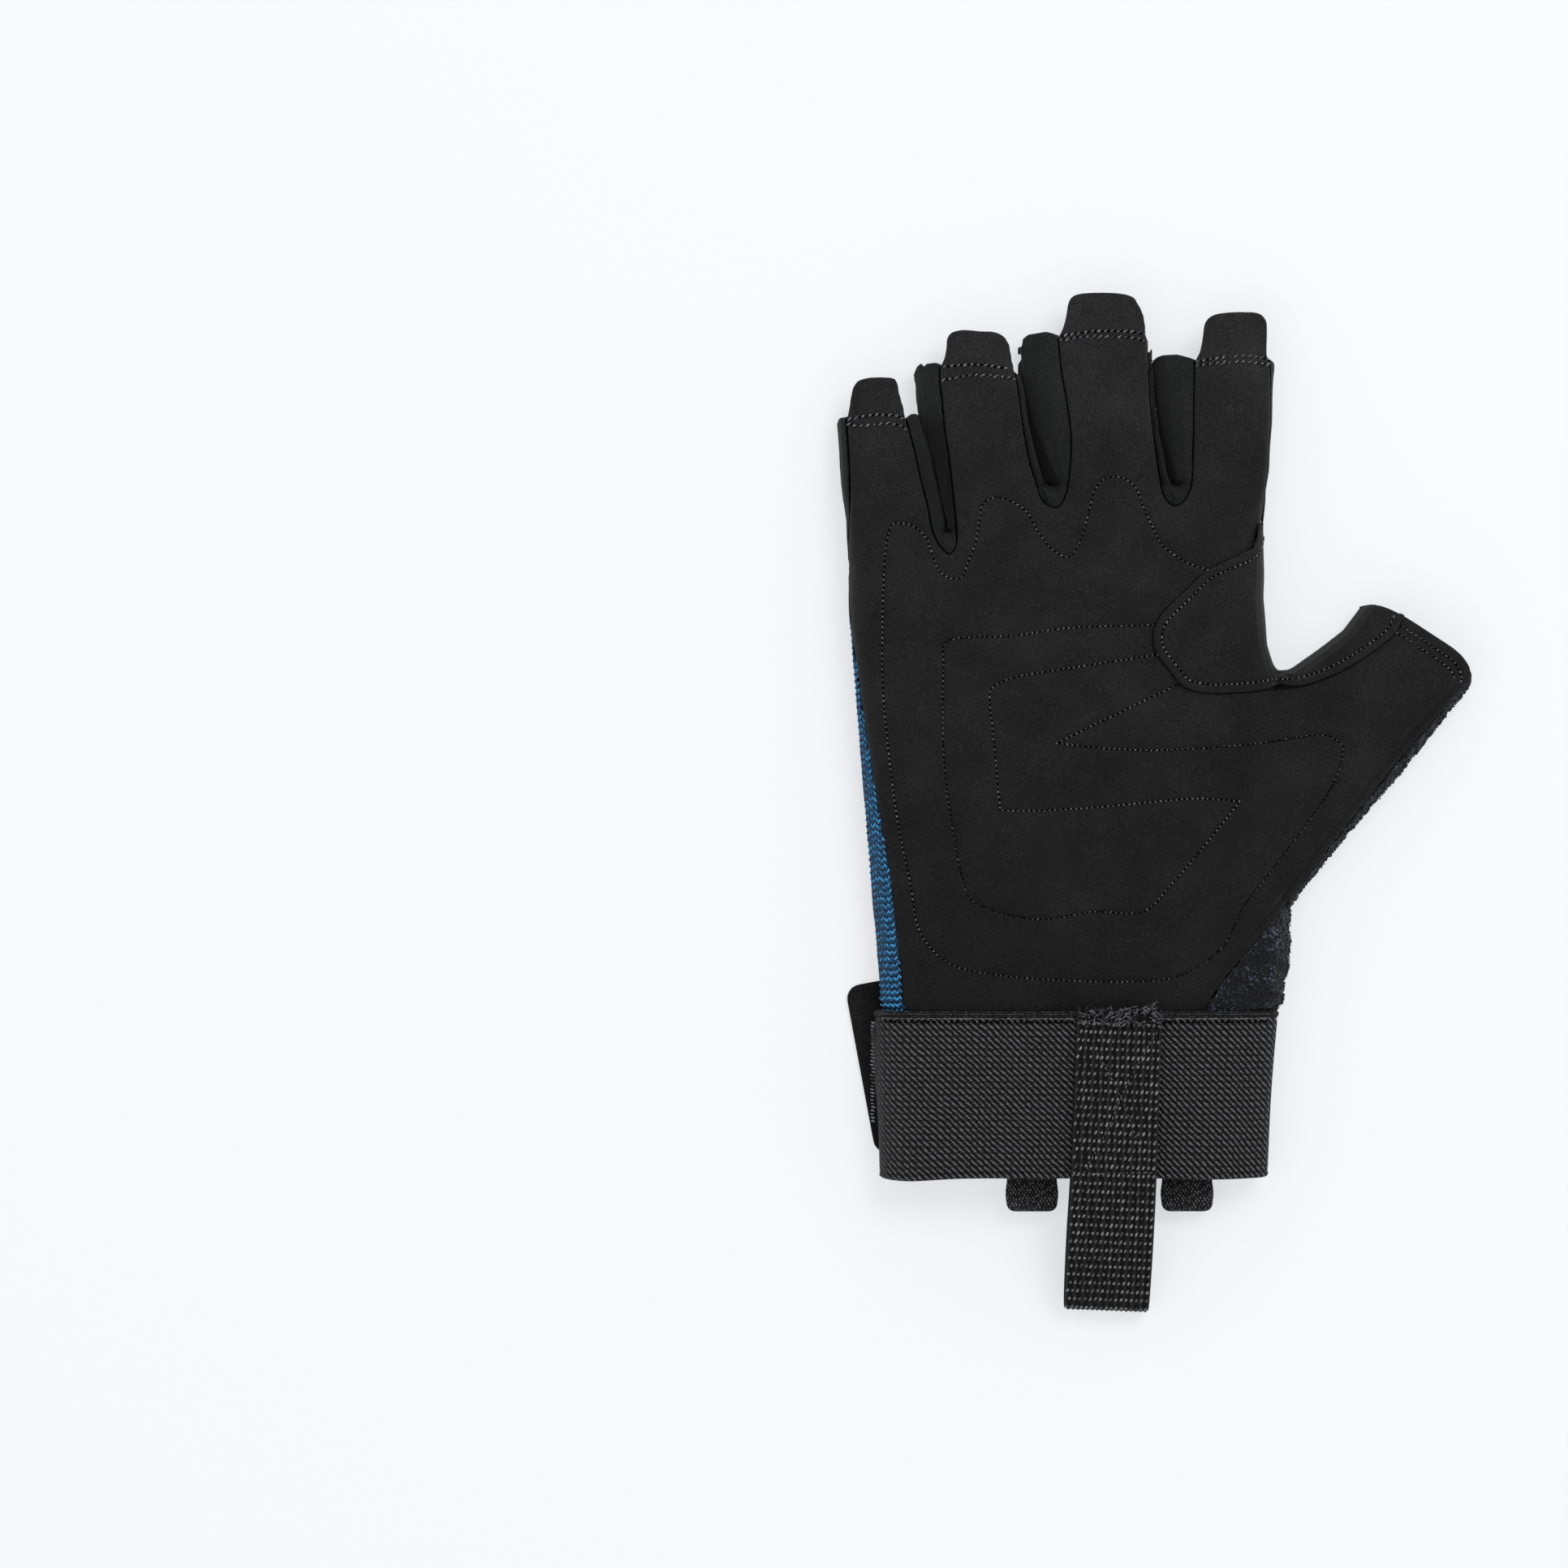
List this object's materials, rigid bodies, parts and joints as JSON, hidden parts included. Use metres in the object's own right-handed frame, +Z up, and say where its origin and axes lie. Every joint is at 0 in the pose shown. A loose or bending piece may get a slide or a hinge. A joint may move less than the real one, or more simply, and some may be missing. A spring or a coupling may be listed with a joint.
{
  "type": "climbing glove",
  "caption": "Half-finger climbing glove for the right hand, palm up, with quilted suede palm, finger pull tabs, elastic cuff and webbing clip loop.",
  "frame": {"origin": "on the resting surface, under the middle of the glove's bounding box", "axes": "+Y from the wrist to the fingertips, +X towards the thumb, +Z up out of the palm"},
  "size_m": [0.1448, 0.2327, 0.017],
  "materials": {
    "suede": "matt black synthetic suede",
    "rib_knit": "blue rib knit",
    "terry": "navy terry cloth",
    "elastic": "dark grey twill elastic",
    "pile": "dark grey loop pile",
    "webbing": "black ribbed nylon webbing with pale flecks",
    "ribbon": "black knit ribbon"
  },
  "bodies": {
    "root": {"palm_panel": "suede", "fourchette_little_ring": "suede", "fourchette_ring_middle": "suede", "fourchette_middle_index": "suede", "little_side_panel": "suede", "index_side_panel": "suede", "gusset_patch": "suede", "pull_tab_little": "suede", "pull_tab_ring": "suede", "pull_tab_middle": "suede", "pull_tab_index": "suede", "closure_tab": "suede", "back_panel": "rib_knit", "thumb_terry_panel": "terry", "cuff_band": "elastic", "closure_pile": "pile", "clip_loop": "webbing", "hang_loop_left": "ribbon", "hang_loop_right": "ribbon"}
  },
  "joints": []
}
